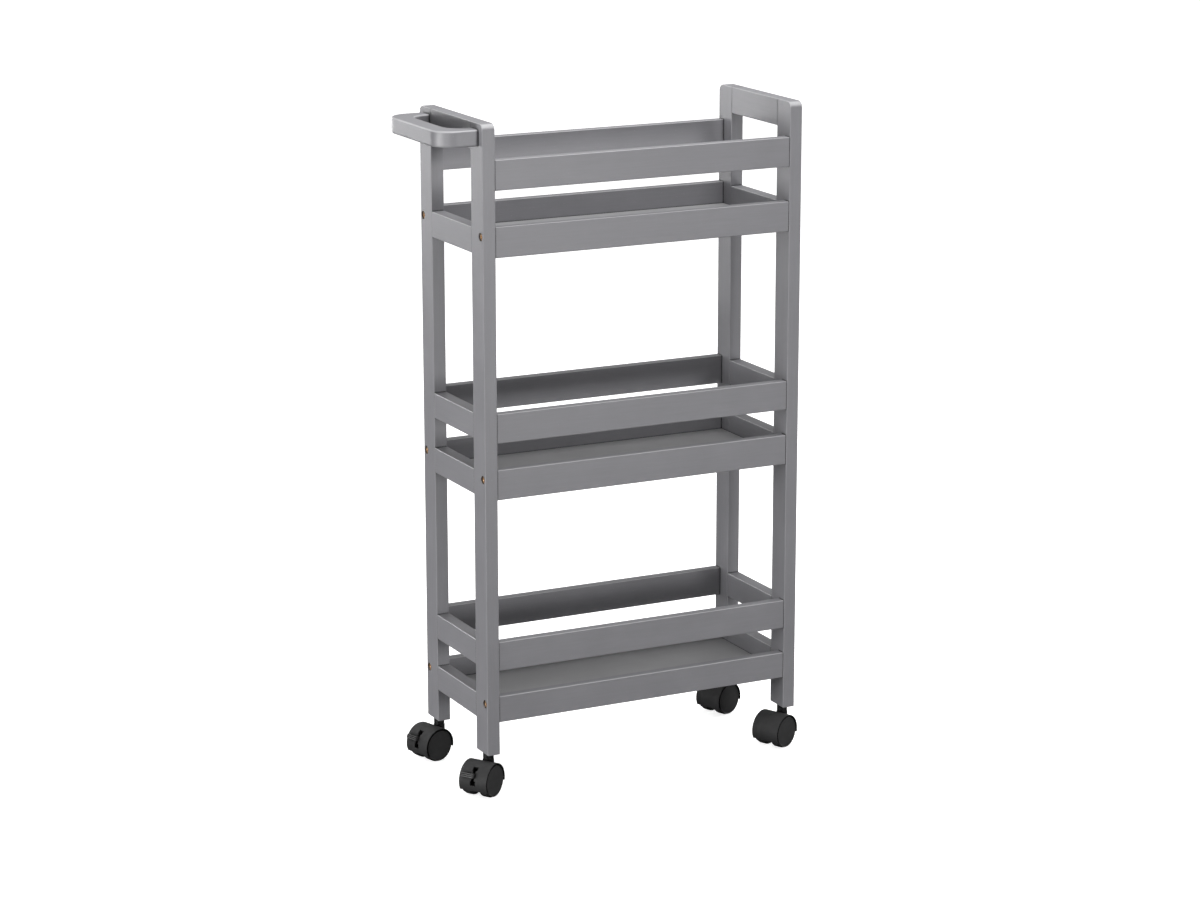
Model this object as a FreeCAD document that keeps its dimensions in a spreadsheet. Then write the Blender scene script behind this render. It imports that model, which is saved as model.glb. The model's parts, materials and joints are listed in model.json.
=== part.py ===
import FreeCAD, Part
import math
import os
import Sketcher

# Rolling pantry cart: two end frames of posts and cross rails, joined by three railed trays,
# with a push handle on the left end and four swivelling twin-wheel casters.
# Millimetres. X runs along the cart, Y from front to back, Z up, the floor is Z = 0.
# Left and right, front and back, are as seen from the front (-Y), with the handle on the left.
# The origin is the bottom centre of the whole cart's bounding box.

SIZES = [
    ("frame_length", 520.0),        # outer face to outer face of the end frames
    ("frame_depth", 220.0),         # front face to back face of the posts
    ("frame_top", 1000.0),          # top of the posts above the floor
    ("caster_height", 62.0),        # bottom of the posts above the floor
    ("post_thick", 20.0),
    ("post_width", 40.0),
    ("corner_round", 10.0),         # outer top corner of each end frame
    ("edge_round", 1.2),            # softened wood edges
    ("top_rail_height", 40.0),
    ("cross_rail_height", 38.0),
    ("board_thick", 15.0),
    ("board_inset", 1.0),           # long boards sit back from the face of the posts
    ("guard_height", 44.0),
    ("tray_board_height", 45.0),
    ("low_board_height", 40.0),
    ("top_guard_level", 925.5),     # levels are the middle height of each board
    ("middle_guard_level", 556.0),
    ("bottom_guard_level", 212.5),
    ("top_tray_level", 829.0),
    ("middle_tray_level", 472.0),
    ("bottom_tray_level", 131.0),
    ("panel_thick", 5.0),
    ("panel_drop", 11.0),           # panel surface below the middle of the tray boards
    ("field_rise", 1.0),            # the panel's field stands this far above its tongues
    ("field_gap", 0.2),             # between that field and the boards and rails
    ("groove_depth", 5.0),
    ("tongue", 4.5),                # how far a panel reaches into its grooves
    ("dowel_radius", 4.0),          # cross rail dowels
    ("dowel_spread", 10.0),
    ("dowel_in_post", 15.0),
    ("dowel_in_rail", 20.0),
    ("pin_radius", 3.0),            # board dowels
    ("pin_spread", 11.0),
    ("pin_drop", 5.0),              # single dowel of a tray board, below its middle
    ("pin_in_post", 12.0),
    ("pin_in_board", 18.0),
    ("hole_spare", 0.5),            # each dowel hole is this much deeper than the dowel
    ("bolt_rise", 9.0),             # tray bolts above the middle of the board
    ("bolt_radius", 3.0),
    ("bolt_head_radius", 5.75),
    ("bolt_head_height", 4.0),
    ("key_radius", 2.4),            # hexagon socket in each bolt head, across its corners
    ("key_depth", 2.5),
    ("bore_radius", 6.25),          # counterbore round each bolt head
    ("bore_depth", 6.0),
    ("insert_radius", 5.0),
    ("insert_length", 16.0),
    ("handle_reach", 60.5),
    ("handle_half_width", 98.0),
    ("handle_arm", 25.0),
    ("handle_bar", 28.0),
    ("handle_thick", 24.0),
    ("handle_drop", 9.0),           # top of the handle below the top of the posts
    ("handle_outer_round", 32.0),
    ("handle_inner_round", 26.0),
    ("handle_edge_round", 3.0),
    ("screw_radius", 2.25),
    ("screw_in_handle", 32.0),
    ("screw_head_radius", 4.5),
    ("screw_head_height", 4.0),
    ("socket_radius", 6.5),
    ("socket_depth", 38.0),
    ("socket_flange", 2.0),
    ("stem_radius", 5.0),
    ("neck_radius", 8.0),           # black neck seen between post and hood
    ("journal_radius", 4.5),        # the hood swivels on this part of the stem
    ("journal_length", 16.0),
    ("ring_rise", 4.0),             # snap ring above the foot of the journal
    ("running_gap", 0.05),          # radial clearance of everything that turns
    ("wheel_radius", 25.0),
    ("wheel_width", 15.0),
    ("wheel_dish", 21.5),
    ("dish_depth", 0.8),
    ("tread_round", 1.2),
    ("cap_radius", 23.6),           # the wheel steps in here, inside the rim of the hood
    ("cap_length", 3.5),
    ("cap_round", 0.8),
    ("caster_trail", 19.0),         # wheel axle behind the swivel axis
    ("hood_radius", 27.2),
    ("hood_wall", 1.5),
    ("lip_wall", 0.8),              # the hood's wall is thinner for a short way at each end
    ("lip_depth", 5.0),
    ("hood_half_width", 23.5),
    ("hood_top", 50.3),             # top of the boss that carries the stem
    ("boss_radius", 8.5),
    ("web_half_width", 7.5),
    ("wheel_inner_face", 8.2),      # inner face of a wheel from the caster's middle plane
    ("hood_front_edge", 20.0),      # lower edge of the hood, leading side
    ("hood_rear_edge", 12.0),       # and trailing side
    ("axle_radius", 2.5),
    ("axle_in_wheel", 10.5),
    ("slot_half_width", 2.6),       # slot for the brake lever's arm
    ("window_half_width", 4.5),     # square windows at both ends of the slot
    ("window_depth", 9.0),
    ("arm_half_width", 2.3),
    ("hub_half_width", 4.2),
    ("hub_gap", 0.3),
    ("lever_hub_radius", 6.3),
    ("pedal_reach", 19.0),
    ("swivel_front_left", 34.0),    # resting angles of the casters, degrees about Z
    ("swivel_back_left", 17.0),
    ("swivel_front_right", 25.0),
    ("swivel_back_right", 21.0),
    ("shift_x", 0.0),               # set at the end, so that the origin is the box's centre
    ("shift_y", 0.0),
]

LEFT, RIGHT = -1, 1
FRONT, BACK = -1, 1
ENDS = {"left": LEFT, "right": RIGHT}
FACES = {"front": FRONT, "back": BACK}

# Brake lever, degrees above the horizontal behind the axle.
SLOT_LOW, SLOT_HIGH = -7.0, 57.0
WINDOWS = ((-7.0, 9.0), (41.0, 57.0))
ARM_LOW, ARM_HIGH = 15.0, 35.0
PEDAL_LOW, PEDAL_HIGH = 19.0, 30.0
PEDAL_INNER, PEDAL_VALLEY, PEDAL_OUTER = 29.2, 32.4, 33.5
PEDAL_RIBS = 3

doc = FreeCAD.newDocument("PantryCart")
sheet = doc.addObject("Spreadsheet::Sheet", "Dims")
parts = []


class Dim:
    """A number together with the sheet expression that gives it."""

    def __init__(self, value, text):
        self.value = value
        self.text = text

    def join(self, other, sign, value):
        return Dim(value, "(%s %s %s)" % (self.text, sign, as_dim(other).text))

    def __add__(self, other):
        return self.join(other, "+", self.value + as_dim(other).value)

    def __sub__(self, other):
        return self.join(other, "-", self.value - as_dim(other).value)

    def __mul__(self, other):
        return self.join(other, "*", self.value * as_dim(other).value)

    def __truediv__(self, other):
        return self.join(other, "/", self.value / as_dim(other).value)

    def __neg__(self):
        return self * -1


def as_dim(number):
    if isinstance(number, Dim):
        return number
    return Dim(float(number), "(%r)" % float(number))


def fill_sheet():
    for row, (alias, value) in enumerate(SIZES, start=1):
        sheet.set("A%d" % row, alias)
        sheet.set("B%d" % row, repr(value))
        sheet.setAlias("B%d" % row, alias)
    doc.recompute()
    return {alias: Dim(value, "Dims." + alias) for alias, value in SIZES}


S = fill_sheet()

half_length = S["frame_length"] / 2
half_depth = S["frame_depth"] / 2
inner_length = S["frame_length"] - S["post_thick"] * 2
inner_depth = S["frame_depth"] - S["post_width"] * 2
post_height = S["frame_top"] - S["caster_height"]
post_centre_x = half_length - S["post_thick"] / 2
post_centre_y = half_depth - S["post_width"] / 2
board_face = half_depth - S["board_inset"]
board_middle = board_face - S["board_thick"] / 2
tongue_thick = S["panel_thick"] - S["field_rise"]
tongue_drop = S["panel_drop"] + S["field_rise"]
handle_middle = S["handle_half_width"] - S["handle_arm"] / 2
handle_level = S["frame_top"] - S["handle_drop"] - S["handle_thick"] / 2
top_rail_level = S["frame_top"] - S["top_rail_height"] / 2

GUARDS = {tier: S[tier + "_guard_level"] for tier in ("top", "middle", "bottom")}
TRAYS = {tier: S[tier + "_tray_level"] for tier in ("top", "middle", "bottom")}
TRAY_BOARD_HEIGHTS = {
    "top": S["tray_board_height"],
    "middle": S["tray_board_height"],
    "bottom": S["low_board_height"],
}
CROSS_RAILS = {
    "top_tray": TRAYS["top"],
    "middle_guard": GUARDS["middle"],
    "middle_tray": TRAYS["middle"],
    "bottom_guard": GUARDS["bottom"],
    "bottom_tray": TRAYS["bottom"],
}


# ---------------------------------------------------------------- document helpers

def bind(obj, prop, size):
    obj.setExpression(prop, as_dim(size).text)


def place(obj, x, y, z, turn=0.0):
    """Put a part at x, y, z, turned about Z; the common origin shift is added here."""
    base = [S["shift_x"] + x, S["shift_y"] + y, as_dim(z)]
    turn = as_dim(turn)
    obj.Placement = FreeCAD.Placement(
        FreeCAD.Vector(*[b.value for b in base]),
        FreeCAD.Rotation(FreeCAD.Vector(0, 0, 1), turn.value))
    for axis, size in zip("xyz", base):
        bind(obj, "Placement.Base." + axis, size)
    if turn.value:
        bind(obj, "Placement.Rotation.Angle", turn)


def new_body(name):
    body = doc.addObject("PartDesign::Body", name)
    body.Label = name
    parts.append(body)
    return body


def new_sketch(body, role, offset=0.0):
    support = [f for f in body.Origin.OriginFeatures if f.Role == role][0]
    sketch = body.newObject("Sketcher::SketchObject", body.Name + "_sketch")
    sketch.AttachmentSupport = (support, [""])
    sketch.MapMode = "FlatFace"
    offset = as_dim(offset)
    if offset.value:
        sketch.AttachmentOffset.Base = FreeCAD.Vector(0, 0, offset.value)
        bind(sketch, "AttachmentOffset.Base.z", offset)
    return sketch


def fix_point(sketch, geometry, corner, x, y):
    for kind, size in (("DistanceX", as_dim(x)), ("DistanceY", as_dim(y))):
        index = sketch.addConstraint(
            Sketcher.Constraint(kind, -1, 1, geometry, corner, size.value))
        bind(sketch, "Constraints[%d]" % index, size)


def add_outline(sketch, points):
    """Closed outline of straight lines through the points."""
    corners = [FreeCAD.Vector(as_dim(x).value, as_dim(y).value, 0) for x, y in points]
    first = None
    for start, end in zip(corners, corners[1:] + corners[:1]):
        line = sketch.addGeometry(Part.LineSegment(start, end), False)
        first = line if first is None else first
    for i, (x, y) in enumerate(points):
        following = (i + 1) % len(points)
        sketch.addConstraint(Sketcher.Constraint("Coincident", first + i, 2, first + following, 1))
    for i, (x, y) in enumerate(points):
        fix_point(sketch, first + i, 1, x, y)


def add_circle(sketch, x, y, radius):
    centre = FreeCAD.Vector(as_dim(x).value, as_dim(y).value, 0)
    radius = as_dim(radius)
    circle = sketch.addGeometry(
        Part.Circle(centre, FreeCAD.Vector(0, 0, 1), radius.value), False)
    fix_point(sketch, circle, 3, x, y)
    index = sketch.addConstraint(Sketcher.Constraint("Radius", circle, radius.value))
    bind(sketch, "Constraints[%d]" % index, radius)


def rectangle(x0, y0, x1, y1):
    return [(x0, y0), (x1, y0), (x1, y1), (x0, y1)]


def extrude(body, kind, sketch, length, reverse=False, both_ways=False):
    """Pad or Pocket of one sketch; both_ways makes the length symmetric about the sketch."""
    feature = body.newObject("PartDesign::" + kind, body.Name + "_" + kind.lower())
    feature.Profile = sketch
    feature.Length = as_dim(length).value
    bind(feature, "Length", length)
    feature.Reversed = reverse
    if both_ways:
        feature.SideType = "Symmetric"
    sketch.Visibility = False
    doc.recompute()
    return feature


def cut(body, sketch, length, reverse=False, both_ways=False):
    """Pocket that must take material away."""
    before = body.Shape.Volume
    feature = extrude(body, "Pocket", sketch, length, reverse, both_ways)
    if feature.Shape.Volume > before - 0.1:
        raise RuntimeError("a pocket in %s cuts nothing" % body.Label)
    return feature


def round_edges(body, radius, test):
    """Fillet the edges of the body's tip for which test(edge) is true."""
    base = body.Tip
    names = ["Edge%d" % i for i, e in enumerate(base.Shape.Edges, start=1) if test(e)]
    if not names:
        raise RuntimeError("no edge to round in " + body.Label)
    feature = body.newObject("PartDesign::Fillet", body.Name + "_round")
    feature.Base = (base, names)
    feature.Radius = as_dim(radius).value
    bind(feature, "Radius", radius)
    doc.recompute()
    return feature


def lies_at(edge, axis, value):
    """True if the whole edge lies in the plane axis = value."""
    box = edge.BoundBox
    low = {"x": box.XMin, "y": box.YMin, "z": box.ZMin}[axis]
    high = {"x": box.XMax, "y": box.YMax, "z": box.ZMax}[axis]
    return abs(low - value) < 1e-3 and abs(high - value) < 1e-3


def runs_along(edge, axis):
    """True for a straight edge parallel to the axis."""
    box = edge.BoundBox
    spans = {"x": box.XLength, "y": box.YLength, "z": box.ZLength}
    return spans[axis] > 1e-3 and all(spans[a] < 1e-3 for a in spans if a != axis)


# ---------------------------------------------------------------- wooden frame

def make_post(end_name, face_name):
    """Post, drawn with its outer end face at x = 0 and the wood towards +x."""
    end, face = ENDS[end_name], FACES[face_name]
    out = -end * face                       # which way the cart's outer face looks, along local y
    half = S["post_width"] / 2
    body = new_body("post_%s_%s" % (face_name, end_name))
    profile = new_sketch(body, "YZ_Plane")
    add_outline(profile, rectangle(-half, 0, half, post_height))
    extrude(body, "Pad", profile, S["post_thick"])
    round_edges(body, S["corner_round"],
                lambda e: runs_along(e, "x") and lies_at(e, "y", out * half.value)
                and lies_at(e, "z", post_height.value))
    round_edges(body, S["edge_round"],
                lambda e: lies_at(e, "x", 0) or lies_at(e, "x", S["post_thick"].value))

    across = new_sketch(body, "XZ_Plane", half * out)
    for level in [top_rail_level] + list(CROSS_RAILS.values()):
        for up in (-1, 1):
            add_circle(across, S["post_thick"] / 2,
                       level - S["caster_height"] + S["dowel_spread"] * up, S["dowel_radius"])
    cut(body, across, S["dowel_in_post"] + S["hole_spare"], reverse=out < 0)

    board_y = (board_middle - post_centre_y) * out
    inside = new_sketch(body, "YZ_Plane", S["post_thick"])
    for level in GUARDS.values():
        for up in (-1, 1):
            add_circle(inside, board_y, level - S["caster_height"] + S["pin_spread"] * up,
                       S["pin_radius"])
    for level in TRAYS.values():
        add_circle(inside, board_y, level - S["caster_height"] - S["pin_drop"], S["pin_radius"])
    cut(body, inside, S["pin_in_post"] + S["hole_spare"])

    for radius, depth in ((S["bore_radius"], S["bore_depth"]),
                          (S["bolt_radius"], S["post_thick"])):
        outside = new_sketch(body, "YZ_Plane")
        for level in TRAYS.values():
            add_circle(outside, board_y, level - S["caster_height"] + S["bolt_rise"], radius)
        cut(body, outside, depth, reverse=True)

    below = new_sketch(body, "XY_Plane")
    add_circle(below, S["post_thick"] / 2, 0, S["socket_radius"])
    cut(body, below, S["socket_depth"], reverse=True)

    if end == LEFT:
        for radius, depth in ((S["screw_head_radius"], S["screw_head_height"]),
                              (S["screw_radius"], S["post_thick"])):
            screw = new_sketch(body, "YZ_Plane", S["post_thick"])
            add_circle(screw, (handle_middle - post_centre_y) * out,
                       handle_level - S["caster_height"], radius)
            cut(body, screw, depth)
    place(body, half_length * end, post_centre_y * face, S["caster_height"],
          0 if end == LEFT else 180)


def make_cross_rail(name, end, level, height, grooved):
    """Rail between the two posts of an end frame, with dowel holes in both ends."""
    body = new_body(name)
    profile = new_sketch(body, "XZ_Plane")
    add_outline(profile, rectangle(0, 0, S["post_thick"], height))
    extrude(body, "Pad", profile, inner_depth, both_ways=True)
    round_edges(body, S["edge_round"], lambda e: True)
    if grooved:
        groove = new_sketch(body, "XZ_Plane")
        top = height / 2 - tongue_drop
        add_outline(groove, rectangle(S["post_thick"] - S["groove_depth"], top - tongue_thick,
                                      S["post_thick"] + 1, top))
        cut(body, groove, inner_depth, both_ways=True)
    for side in (-1, 1):
        holes = new_sketch(body, "XZ_Plane", inner_depth / 2 * side)
        for up in (-1, 1):
            add_circle(holes, S["post_thick"] / 2, height / 2 + S["dowel_spread"] * up,
                       S["dowel_radius"])
        cut(body, holes, S["dowel_in_rail"] + S["hole_spare"], reverse=side < 0)
    place(body, half_length * end, 0, level - height / 2, 0 if end == LEFT else 180)


def make_board(name, face, level, height, holes, grooved):
    """Long board between the end frames; holes lists (radius, depth, height above middle)."""
    body = new_body(name)
    profile = new_sketch(body, "YZ_Plane")
    add_outline(profile, rectangle(0, 0, S["board_thick"], height))
    extrude(body, "Pad", profile, inner_length, both_ways=True)
    round_edges(body, S["edge_round"], lambda e: True)
    if grooved:
        groove = new_sketch(body, "YZ_Plane")
        top = height / 2 - tongue_drop
        add_outline(groove, rectangle(S["board_thick"] - S["groove_depth"], top - tongue_thick,
                                      S["board_thick"] + 1, top))
        cut(body, groove, inner_length, both_ways=True)
    for side in (-1, 1):
        for radius, depth, rise in holes:
            hole = new_sketch(body, "YZ_Plane", inner_length / 2 * side)
            add_circle(hole, S["board_thick"] / 2, height / 2 + rise, radius)
            cut(body, hole, depth, reverse=side < 0)
    place(body, 0, board_face * face, level - height / 2, 0 if face == FRONT else 180)


def make_panel(name, level):
    """Tray bottom: tongues all round, notched for the posts, and a raised field between them."""
    body = new_body(name)
    outline = new_sketch(body, "XY_Plane")
    long_x = inner_length / 2 + S["tongue"]
    short_x = inner_length / 2
    board_back = board_face - S["board_thick"]
    wide_y = board_back + S["tongue"]
    tab_y = inner_depth / 2 - S["hole_spare"]
    add_outline(outline, [
        (-long_x, -tab_y), (-short_x, -tab_y), (-short_x, -wide_y), (short_x, -wide_y),
        (short_x, -tab_y), (long_x, -tab_y), (long_x, tab_y), (short_x, tab_y),
        (short_x, wide_y), (-short_x, wide_y), (-short_x, tab_y), (-long_x, tab_y)])
    extrude(body, "Pad", outline, tongue_thick)
    field = new_sketch(body, "XY_Plane", tongue_thick)
    field_x, field_y = short_x - S["field_gap"], board_back - S["field_gap"]
    add_outline(field, rectangle(-field_x, -field_y, field_x, field_y))
    extrude(body, "Pad", field, S["field_rise"])
    place(body, 0, 0, level - S["panel_drop"] - S["panel_thick"])


def make_handle():
    """Flat U-shaped push handle; its two arms end on the left posts, at x = 0."""
    body = new_body("push_handle")
    outline = new_sketch(body, "XY_Plane")
    wide = S["handle_half_width"]
    inner = wide - S["handle_arm"]
    far = -S["handle_reach"]
    near = far + S["handle_bar"]
    add_outline(outline, [(0, -wide), (far, -wide), (far, wide), (0, wide),
                          (0, inner), (near, inner), (near, -inner), (0, -inner)])
    extrude(body, "Pad", outline, S["handle_thick"])
    round_edges(body, S["handle_outer_round"],
                lambda e: runs_along(e, "z") and lies_at(e, "x", far.value))
    round_edges(body, S["handle_inner_round"],
                lambda e: runs_along(e, "z") and lies_at(e, "x", near.value))
    round_edges(body, S["handle_edge_round"],
                lambda e: (lies_at(e, "z", 0) or lies_at(e, "z", S["handle_thick"].value))
                and not lies_at(e, "x", 0))
    round_edges(body, S["edge_round"], lambda e: lies_at(e, "x", 0))
    holes = new_sketch(body, "YZ_Plane")
    for face in (FRONT, BACK):
        add_circle(holes, handle_middle * face, S["handle_thick"] / 2, S["screw_radius"])
    cut(body, holes, S["screw_in_handle"])
    place(body, -half_length, 0, handle_level - S["handle_thick"] / 2)


# ---------------------------------------------------------------- fixings

def make_rod(kind, radius, length, axis, x, y, z):
    """Cylinder or hexagonal prism that starts at x, y, z and runs along +X, +Y or +Z."""
    rod = doc.addObject("Part::" + kind, "rod")
    sizes = {"Radius": radius} if kind == "Cylinder" else {"Circumradius": radius}
    sizes["Height"] = length
    for prop, size in sizes.items():
        setattr(rod, prop, as_dim(size).value)
        bind(rod, prop, size)
    turns = {
        "x": FreeCAD.Rotation(FreeCAD.Vector(0, 1, 0), 90),
        "y": FreeCAD.Rotation(FreeCAD.Vector(1, 0, 0), -90),
        "z": FreeCAD.Rotation(),
    }
    centre = [as_dim(v) for v in (x, y, z)]
    rod.Placement = FreeCAD.Placement(FreeCAD.Vector(*[c.value for c in centre]), turns[axis])
    for name, size in zip("xyz", centre):
        bind(rod, "Placement.Base." + name, size)
    return rod


def fuse(pieces):
    union = doc.addObject("Part::MultiFuse", "fused")
    union.Shapes = pieces
    return union


def subtract(base, tool):
    result = doc.addObject("Part::Cut", "cut")
    result.Base = base
    result.Tool = tool
    return result


def group(name, pieces):
    """One part made of many equal loose pieces."""
    compound = doc.addObject("Part::Compound", name)
    compound.Label = name
    compound.Links = pieces
    parts.append(compound)
    place(compound, 0, 0, 0)


def start_of(middle, length, direction):
    """Start of a rod of this length that leaves middle in the direction -1 or +1."""
    return middle if direction > 0 else middle - length


def make_cross_rail_dowels():
    length = S["dowel_in_post"] + S["dowel_in_rail"]
    pieces = []
    for end in ENDS.values():
        for face in FACES.values():
            for level in [top_rail_level] + list(CROSS_RAILS.values()):
                for up in (-1, 1):
                    inner_end = (inner_depth / 2 - S["dowel_in_rail"]) * face
                    pieces.append(make_rod(
                        "Cylinder", S["dowel_radius"], length, "y", post_centre_x * end,
                        start_of(inner_end, length, face), level + S["dowel_spread"] * up))
    group("cross_rail_dowels", pieces)


def make_board_dowels():
    length = S["pin_in_post"] + S["pin_in_board"]
    levels = [level + S["pin_spread"] * up for level in GUARDS.values() for up in (-1, 1)]
    levels += [level - S["pin_drop"] for level in TRAYS.values()]
    pieces = []
    for end in ENDS.values():
        for face in FACES.values():
            for level in levels:
                inner_end = (inner_length / 2 - S["pin_in_board"]) * end
                pieces.append(make_rod(
                    "Cylinder", S["pin_radius"], length, "x",
                    start_of(inner_end, length, end), board_middle * face, level))
    group("board_dowels", pieces)


def make_tray_bolts():
    """Socket-head bolts through the posts, and the threaded inserts in the board ends."""
    shank = S["post_thick"] - S["bore_depth"] + S["insert_length"]
    bolts, inserts = [], []
    for end in ENDS.values():
        for face in FACES.values():
            for level in TRAYS.values():
                y, z = board_middle * face, level + S["bolt_rise"]
                seat = (half_length - S["bore_depth"]) * end
                head = make_rod("Cylinder", S["bolt_head_radius"], S["bolt_head_height"], "x",
                                start_of(seat, S["bolt_head_height"], end), y, z)
                rod = make_rod("Cylinder", S["bolt_radius"], shank, "x",
                               start_of(seat, shank, -end), y, z)
                mouth = seat + S["bolt_head_height"] * end
                key = make_rod("Prism", S["key_radius"], S["key_depth"], "x",
                               start_of(mouth, S["key_depth"], -end), y, z)
                bolts.append(subtract(fuse([head, rod]), key))
                joint = inner_length / 2 * end
                sleeve = [make_rod("Cylinder", radius, S["insert_length"], "x",
                                   start_of(joint, S["insert_length"], -end), y, z)
                          for radius in (S["insert_radius"], S["bolt_radius"])]
                inserts.append(subtract(*sleeve))
    group("tray_bolts", bolts)
    group("bolt_inserts", inserts)


def make_handle_screws():
    pieces = []
    seat = -half_length + S["post_thick"] - S["screw_head_height"]
    shank = S["post_thick"] - S["screw_head_height"] + S["screw_in_handle"] - S["hole_spare"]
    for face in (FRONT, BACK):
        y = handle_middle * face
        head = make_rod("Cylinder", S["screw_head_radius"],
                        S["screw_head_height"] - S["hole_spare"], "x", seat, y, handle_level)
        rod = make_rod("Cylinder", S["screw_radius"], shank, "x", seat - shank, y, handle_level)
        pieces.append(fuse([head, rod]))
    group("handle_screws", pieces)


# ---------------------------------------------------------------- casters
# Each caster is drawn about its swivel axis (x = 0, y = 0), rolling towards +x, the axle behind.

axle_x = -S["caster_trail"]
axle_z = S["wheel_radius"]


def behind_axle(radius, degrees):
    """Point at this radius from the axle, at an angle above the horizontal behind it."""
    angle = math.radians(degrees)
    return (axle_x - as_dim(radius * math.cos(angle)), axle_z + radius * math.sin(angle))


def make_sockets_and_stems():
    """Sockets pressed into the posts, and the fixed stems the hoods swivel on."""
    sockets, stems = [], []
    neck_foot = S["hood_top"] + S["running_gap"] * 2
    foot = S["hood_top"] - S["journal_length"]
    for end in ENDS.values():
        for face in FACES.values():
            x, y = post_centre_x * end, post_centre_y * face
            flange_foot = S["caster_height"] - S["socket_flange"]
            shell = fuse([
                make_rod("Cylinder", S["socket_radius"], S["socket_depth"], "z",
                         x, y, S["caster_height"]),
                make_rod("Cylinder", S["neck_radius"], S["socket_flange"], "z",
                         x, y, flange_foot)])
            bore = make_rod("Cylinder", S["stem_radius"], S["socket_depth"] + 1, "z",
                            x, y, flange_foot)
            sockets.append(subtract(shell, bore))
            stems.append(fuse([
                make_rod("Cylinder", S["stem_radius"], S["socket_depth"], "z",
                         x, y, flange_foot),
                make_rod("Cylinder", S["neck_radius"], flange_foot - neck_foot, "z",
                         x, y, neck_foot),
                make_rod("Cylinder", S["journal_radius"],
                         S["journal_length"] + S["running_gap"], "z",
                         x, y, foot + S["running_gap"]),
                make_rod("Cylinder", S["journal_radius"] + 0.6, 1.5, "z",
                         x, y, foot + S["ring_rise"])]))
    group("caster_sockets", sockets)
    group("caster_stems", stems)


def make_hood(name, braked):
    body = new_body(name + "_hood")
    cover = new_sketch(body, "XZ_Plane")
    add_circle(cover, axle_x, axle_z, S["hood_radius"])
    extrude(body, "Pad", cover, S["hood_half_width"] * 2, both_ways=True)
    round_edges(body, S["lip_wall"] / 2,
                lambda e: lies_at(e, "y", S["hood_half_width"].value)
                or lies_at(e, "y", -S["hood_half_width"].value))
    boss = new_sketch(body, "XY_Plane", axle_z)
    add_circle(boss, 0, 0, S["boss_radius"])
    extrude(body, "Pad", boss, S["hood_top"] - axle_z)
    for side in (-1, 1):
        for wall, depth in ((S["hood_wall"], S["hood_half_width"] - S["web_half_width"]),
                            (S["lip_wall"], S["lip_depth"])):
            well = new_sketch(body, "XZ_Plane", S["hood_half_width"] * side)
            add_circle(well, axle_x, axle_z, S["hood_radius"] - wall)
            cut(body, well, depth, reverse=side < 0)
    lower = new_sketch(body, "XZ_Plane")
    reach = S["hood_radius"] + 5
    add_outline(lower, [(axle_x - reach, -5), (axle_x + reach, -5),
                        (axle_x + reach, S["hood_front_edge"]),
                        (axle_x - reach, S["hood_rear_edge"])])
    cut(body, lower, S["hood_half_width"] * 2, both_ways=True)
    for radius, start, depth in (
            (S["journal_radius"] + S["running_gap"], S["hood_top"],
             S["journal_length"]),
            (S["journal_radius"] + 0.6 + S["running_gap"],
             S["hood_top"] - S["journal_length"] + S["ring_rise"] + 1.5 + S["running_gap"],
             S["running_gap"] * 2 + 1.5)):
        bore = new_sketch(body, "XY_Plane", start)
        add_circle(bore, 0, 0, radius)
        cut(body, bore, depth)
    axle_bore = new_sketch(body, "XZ_Plane")
    add_circle(axle_bore, axle_x, axle_z, S["axle_radius"])
    cut(body, axle_bore, S["hood_half_width"] * 2, both_ways=True)
    if braked:
        hub = new_sketch(body, "XZ_Plane")
        add_circle(hub, axle_x, axle_z, S["lever_hub_radius"] + 0.4)
        cut(body, hub, (S["hub_half_width"] + S["hub_gap"]) * 2, both_ways=True)
        slot = new_sketch(body, "XZ_Plane")
        add_outline(slot, [(axle_x, axle_z), behind_axle(35.0, SLOT_LOW),
                           behind_axle(35.0, SLOT_HIGH)])
        cut(body, slot, S["slot_half_width"] * 2, both_ways=True)
        floor = (S["hood_radius"] - S["window_depth"]).value
        for low, high in WINDOWS:
            window = new_sketch(body, "XZ_Plane")
            add_outline(window, [behind_axle(floor, low), behind_axle(35.0, low),
                                 behind_axle(35.0, high), behind_axle(floor, high)])
            cut(body, window, S["window_half_width"] * 2, both_ways=True)
    return body


def make_axle(name):
    body = new_body(name + "_axle")
    section = new_sketch(body, "XZ_Plane")
    add_circle(section, axle_x, axle_z, S["axle_radius"])
    extrude(body, "Pad", section, (S["wheel_inner_face"] + S["axle_in_wheel"]) * 2,
            both_ways=True)
    return body


def make_wheel(name, side):
    """One wheel, its blind bore opening towards the hood's middle web; side is -1 or +1 in y."""
    body = new_body(name)
    inner = S["wheel_inner_face"]
    outer = inner + S["wheel_width"]
    tread = new_sketch(body, "XZ_Plane", -inner * side)
    add_circle(tread, axle_x, axle_z, S["wheel_radius"])
    extrude(body, "Pad", tread, S["wheel_width"] - S["cap_length"], reverse=side > 0)
    round_edges(body, S["tread_round"], lambda e: True)
    cap = new_sketch(body, "XZ_Plane", -inner * side)
    add_circle(cap, axle_x, axle_z, S["cap_radius"])
    extrude(body, "Pad", cap, S["wheel_width"], reverse=side > 0)
    round_edges(body, S["cap_round"], lambda e: lies_at(e, "y", outer.value * side))
    dish = new_sketch(body, "XZ_Plane", -outer * side)
    add_circle(dish, axle_x, axle_z, S["wheel_dish"])
    cut(body, dish, S["dish_depth"], reverse=side > 0)
    bore = new_sketch(body, "XZ_Plane", -inner * side)
    add_circle(bore, axle_x, axle_z, S["axle_radius"] + S["running_gap"])
    cut(body, bore, S["axle_in_wheel"] + S["hole_spare"], reverse=side < 0)
    return body


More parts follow.
